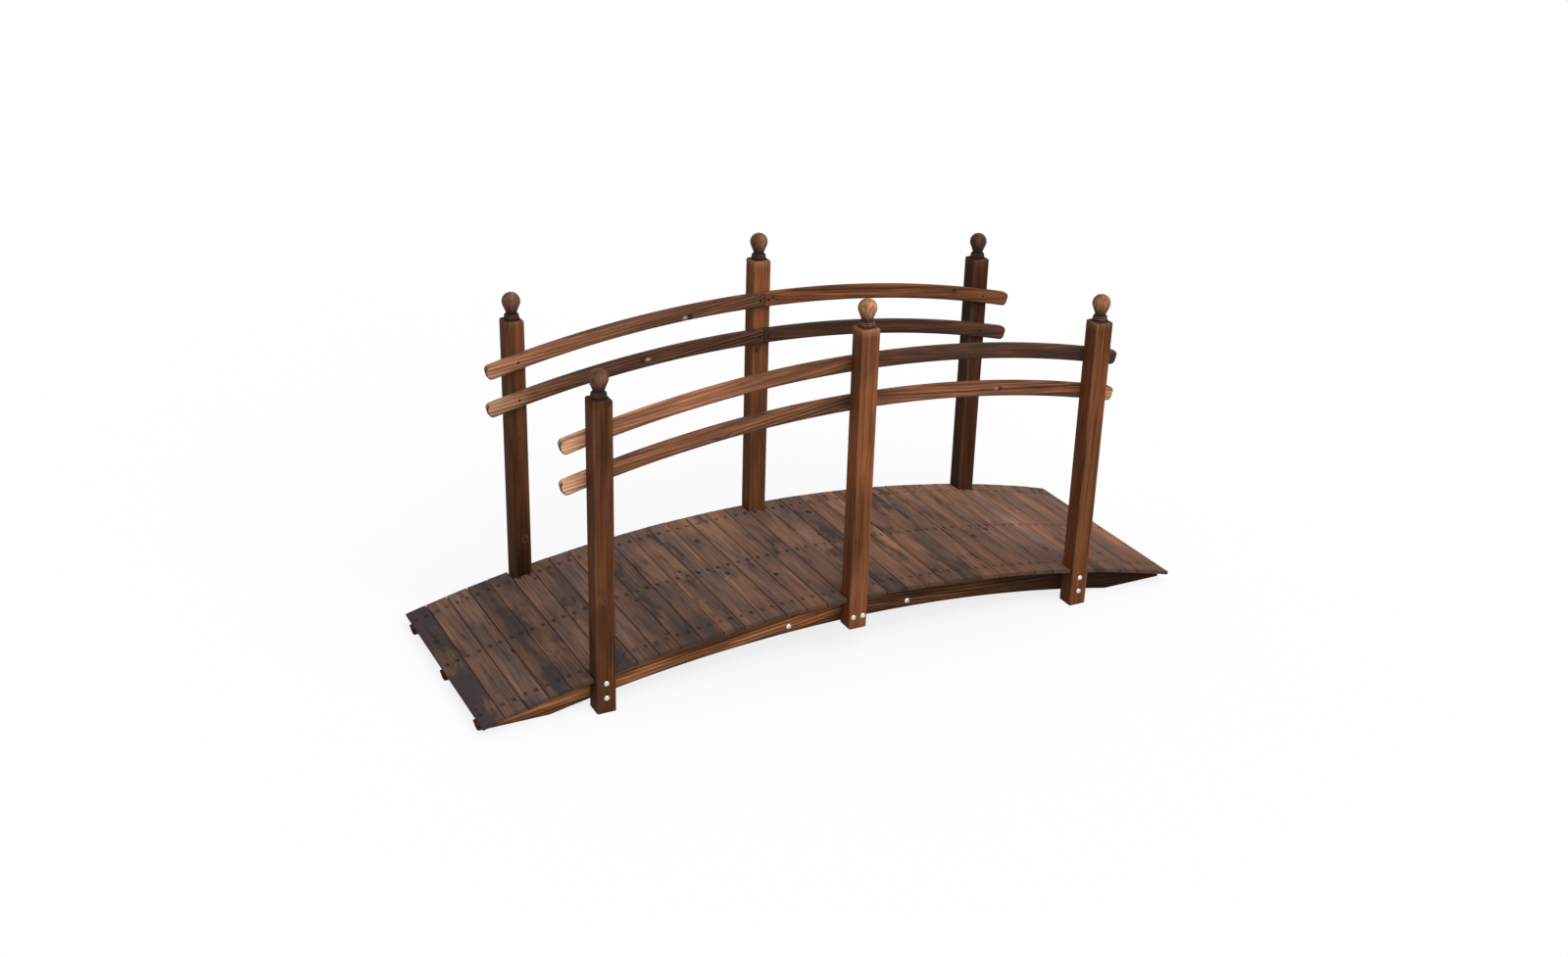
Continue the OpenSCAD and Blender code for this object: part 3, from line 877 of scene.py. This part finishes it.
# Turned finials: tone and warmth for each
finialTurning = dict(
    ball=(0.0265, 0.053),   # radius and height
    ballSteps=24, taperSteps=6, coveSteps=8,
    tipGap=0.02,    # radians at the tip that the top face closes
    pearAngle=22, neckRadius=0.016,
    cove=(0.013, 0.77),                 # radius, and where on the upper bead it starts
    foot=(0.023, 0.004, 0.0006),        # radius, thickness and ease
    beads=(0.0032, 0.0026, 0.0009),     # lower and upper radius, and how far each stands back
    lowerArc=range(-70, 81, 15), upperArc=range(-70, 51, 15),
    beadHighlight=0.55, highlightAngle=30, highlightSharp=8,  # less char on a band above the beads' crests: a painted highlight where the light from above catches them
    sides=64, crease=50,
    each={
        "front_left": (0.6, 0.4), "front_middle": (1.7, 0.7), "front_right": (1.35, 0.65),
        "back_left": (0.75, 0.4), "back_middle": (0.76, 0.5), "back_right": (0.4, 0.2),
    },
    diceSeed=5,
)
finialLook = dict(
    postLook, early=(0.26, 0.126, 0.076), late=(0.085, 0.039, 0.024), grey=(0.13, 0.075, 0.052),
    warm=(0.42, 0.215, 0.128), char=(0.009, 0.008, 0.008), ringGap=0.006, ringDepth=0.85,
    pithSpread=(0.04, 0.04), pithPlace=(0.09, 0.05), fibreTones=(0.62, 1.34), cloud=(18, 42, 42),
    flush=(16, 60, 60), sootPatch=(24, 48, 48), sootShare=0.7, knotShare=0.0, cracks=0.3, charShare=0.95,
    charFloor=0.85, gloss=0.1)


def beadProfile(x, z, radius, arc):
    look = finialTurning
    profile = []
    for turn in map(radians, arc):
        # painted highlight: the char thins on a band above each crest, where the light from above catches it
        highlight = max(0, cos(turn - radians(look["highlightAngle"]))) ** look["highlightSharp"]
        char = 1 - look["beadHighlight"] * highlight
        profile.append((x + radius * cos(turn), z + radius * sin(turn), char))
    return profile


def finialProfile():
    look = finialTurning
    foot, thick, ease = look["foot"]
    ball, ballZ = look["ball"]
    neck = look["neckRadius"]
    cove, coveSeat = look["cove"]
    lower, upper, step = look["beads"]
    lowerX = foot - step - lower
    lowerZ = thick + lower
    upperX = lowerX + lower - step - upper
    upperZ = lowerZ + lower + upper
    pear = radians(look["pearAngle"])
    taperX = ball * cos(pear)
    taperZ = ballZ - ball * sin(pear)
    neckZ = taperZ - (taperX - neck) / tan(pear)
    profile = [(foot - ease, 0, 1), (foot, ease, 1), (foot, thick - ease, 1), (foot - ease, thick, 1)]
    profile += beadProfile(lowerX, lowerZ, lower, look["lowerArc"])
    profile += beadProfile(upperX, upperZ, upper, look["upperArc"])
    coveLow = asin((neckZ - upperZ - upper * coveSeat) / cove)
    for turn in stepsTo(coveLow, 0, look["coveSteps"]):
        profile.append((neck + cove - cove * cos(turn), neckZ - cove * sin(turn), 1))
    for share in stepsTo(0, 1, look["taperSteps"]):
        profile.append((lerp(neck, taperX, share), lerp(neckZ, taperZ, share), 1 - share))
    for turn in stepsTo(-pear, pi / 2 - look["tipGap"], look["ballSteps"]):
        profile.append((ball * cos(turn), ballZ + ball * sin(turn), 0))
    return profile


def addFinial(parts, name, box, seed, draw):
    foot = ((box[0].x + box[1].x) / 2, (box[0].y + box[1].y) / 2, box[0].z)
    addTurned(parts, finialProfile(), foot, (0, 0, 1), finialTurning["sides"], (seed, *draw))


finialFir = firFinish("finialFir", finialLook)
finialDice = random.Random(finialTurning["diceSeed"])
makeEach(finialTurning["each"], "_finial", finialDice, finialFir, addFinial,
         finialTurning["crease"])
print("finials turned")

# Carriage bolts with washers and nuts
boltSet = dict(
    head=(0.008, 0.0034, 6),                # radius, rise and steps
    washer=(0.008, 0.0012, 0.0003, 0.96),   # radius, height, ease, and the face as a share of the radius
    nut=(0.0058, 0.005, 0.0006, 0.88),
    stub=(0.003, 0.0035, 0.0007, 0.7),
    roundSides=24, nutSides=6, stubSides=12,
    endPostZ=(0.047, 0.092),
    middlePost=(0.015, 0.128),  # x and z
    splice=(0.196, 0.112),
    innerSpliceX=(0.06, 0.196), innerSpliceZ=0.125,
)
domeShape = dict(foot=0.985, tip=0.02, rim=0.12)  # shares of the radius, and of the rise
zincLook = dict(
    steelLook, bright=(0.74, 0.73, 0.71), dull=(0.5, 0.49, 0.47), spot=(0.3, 0.25, 0.2), spotShare=0.35,
    roughness=(0.24, 0.42), metal=1.0, gloss=0.5, bump=0.2, bumpDepth=0.0003,
)


def domeProfile(radius, rise, steps):
    rim = domeShape["rim"]
    profile = [(radius * domeShape["foot"], 0, 0), (radius, rise * rim, 0)]
    for turn in stepsTo(0, pi / 2, steps):
        out = radius * max(cos(turn), domeShape["tip"])
        profile.append((out, rise * (rim + (1 - rim) * sin(turn)), 0))
    return profile


def stubProfile(radius, height, ease, face):
    return [(radius, 0, 0), (radius, height - ease, 0), (radius * face, height, 0)]


def addBolt(parts, x, z, headY, nutY):
    look = boltSet
    out = -1 if headY < nutY else 1
    addTurned(parts, domeProfile(*look["head"]), (x, headY, z), (0, out, 0), look["roundSides"])
    washer, nut, stub = [stubProfile(*look[key]) for key in ("washer", "nut", "stub")]
    washer[:1] = [(washer[2][0], 0, 0), (washer[1][0], look["washer"][2], 0)]  # eased below as well
    for profile, count in ((washer, look["roundSides"]), (nut, look["nutSides"]), (stub, look["stubSides"])):
        addTurned(parts, profile, (x, nutY, z), (0, -out, 0), count)
        nutY -= out * profile[-1][1]


# Bolts in mirrored pairs, each as (x, z, y of the head's seat, y of the nut's seat)
def makeBoltPiece(name, material, bolts):
    parts = newParts()
    for x, z, headY, nutY in bolts:
        for end in (-1, 1):
            addBolt(parts, end * x, z, headY, nutY)
    makePiece(name, parts, material)


def makeBolts():
    look = boltSet
    material = steelFinish("zincSteel", zincLook)
    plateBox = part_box("front_splice_plate")
    plateThick = plateBox[1].y - plateBox[0].y
    for name, side in sides.items():
        outer = side * (seatY + postSize)
        plateFace = side * (seatY - stringerThick - plateThick)
        postBolts = [(postX, z, outer, side * (seatY - stringerThick)) for z in look["endPostZ"]]
        postBolts.append((*look["middlePost"], outer, plateFace))
        makeBoltPiece(name + "PostBolts", material, postBolts)
        makeBoltPiece(name + "SpliceBolts", material, [(*look["splice"], side * seatY, plateFace)])
    face = stringerThick / 2
    middleBolts = [(x, look["innerSpliceZ"], -face, face + plateThick) for x in look["innerSpliceX"]]
    makeBoltPiece("middleSpliceBolts", material, middleBolts)


makeBolts()
print("bolts tightened")

# Deck nails and rail screws
nailSet = dict(
    head=(0.0036, 0.0005, 3), sides=12, sunk=0.0002, strayAlong=0.006, strayAcross=0.004, diceSeed=88,
)
screwSet = dict(head=(0.0038, 0.0012, 4), sides=16, middleX=0.014)
ironLook = dict(
    steelLook, bright=(0.012, 0.009, 0.008), dull=(0.006, 0.005, 0.004), spot=(0.03, 0.013, 0.007),
    spotShare=0.6, roughness=(0.6, 0.8), gloss=0.1, bump=0.3, bumpDepth=0.0003,
)


def makeNails(material):
    look = nailSet
    dice = random.Random(look["diceSeed"])
    head = domeProfile(*look["head"])
    nails = newParts()
    for number in range(-deckBoards["count"], deckBoards["count"] + 1):
        base, ahead, normal = plankFrame(number)
        for row in (-deckLook["nailRow"], 0, deckLook["nailRow"]):
            for pair in (-deckLook["nailPair"], deckLook["nailPair"]):
                a = pair + dice.uniform(-1, 1) * look["strayAcross"]
                foot = base + ahead * a + normal * (deckBoards["thick"] - look["sunk"])
                foot.y = row + dice.uniform(-1, 1) * look["strayAlong"]
                addTurned(nails, head, foot, normal, look["sides"])
    makePiece("deckNails", nails, material)


def makeScrews(material):
    look = screwSet
    head = domeProfile(*look["head"])
    screws = newParts()
    for half in railBoards["halves"]:
        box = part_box(half + "_rail")
        side = sides[half.split("_")[0]]
        inner = box[1].y if side < 0 else box[0].y
        for x in (look["middleX"], postX):
            z = box[1].z - railBoards["radius"] + sqrt(railMiddle ** 2 - x ** 2)
            addTurned(screws, head, (endOf(half) * x, inner, z), (0, -side, 0), look["sides"])
    makePiece("railScrews", screws, material)


dullIron = steelFinish("dullIron", ironLook)
makeNails(dullIron)
makeScrews(dullIron)
print("nails and screws driven")

# Pale floor, white to the camera and greyer to bounced light, and a soft key from the front
studioLook = dict(
    floorReach=40, floorSides=96,
    floorSeen=(0.96, 0.96, 0.96), floorGlow=0.8, floorBounce=(0.42, 0.42, 0.42),
    worldLight=0.36, keyFrom=(0.08, -0.8, 0.78), keyStrength=2.9, keySpread=70,
)


def seenRays(tree):
    rays = addNode(tree, "LightPath", (), "Is Camera Ray")
    seen = rays.calc("MAXIMUM", rays.other("Is Glossy Ray"))
    return seen.calc("MAXIMUM", rays.other("Is Transmission Ray"))


def makeFloor(look):
    mesh = bpy.data.meshes.new("studioFloor")
    work = bmesh.new()
    bmesh.ops.create_circle(work, cap_ends=True, segments=look["floorSides"], radius=look["floorReach"])
    work.to_mesh(mesh)
    work.free()
    floor = bpy.data.objects.new("studioFloor", mesh)
    scene.collection.objects.link(floor)
    material, tree = startFinish("paleFloor")
    seen = seenRays(tree)
    shade = seen.mix(look["floorBounce"], look["floorSeen"])
    plain = addNode(tree, "BsdfDiffuse", {"Color": shade})
    white = addNode(tree, "Emission")
    mixed = addNode(tree, "MixShader", (seen * look["floorGlow"], plain, white))
    addNode(tree, "OutputMaterial", {"Surface": mixed})
    mesh.materials.append(material)


def makeWorld(look):
    world = bpy.data.worlds.new("studioWorld")
    scene.world = world
    world.use_nodes = True
    tree = world.node_tree
    tree.nodes.clear()
    strength = seenRays(tree) * (1 - look["worldLight"]) + look["worldLight"]
    light = addNode(tree, "Background", {"Color": (1, 1, 1, 1), "Strength": strength})
    addNode(tree, "OutputWorld", {"Surface": light})


def makeKey(look):
    key = bpy.data.lights.new("keySun", "SUN")
    key.energy = look["keyStrength"]
    key.angle = radians(look["keySpread"])
    keyObject = bpy.data.objects.new("keySun", key)
    keyObject.rotation_euler = Vector(look["keyFrom"]).to_track_quat("Z", "Y").to_euler()
    scene.collection.objects.link(keyObject)


makeFloor(studioLook)
makeWorld(studioLook)
makeKey(studioLook)
print("studio lit")
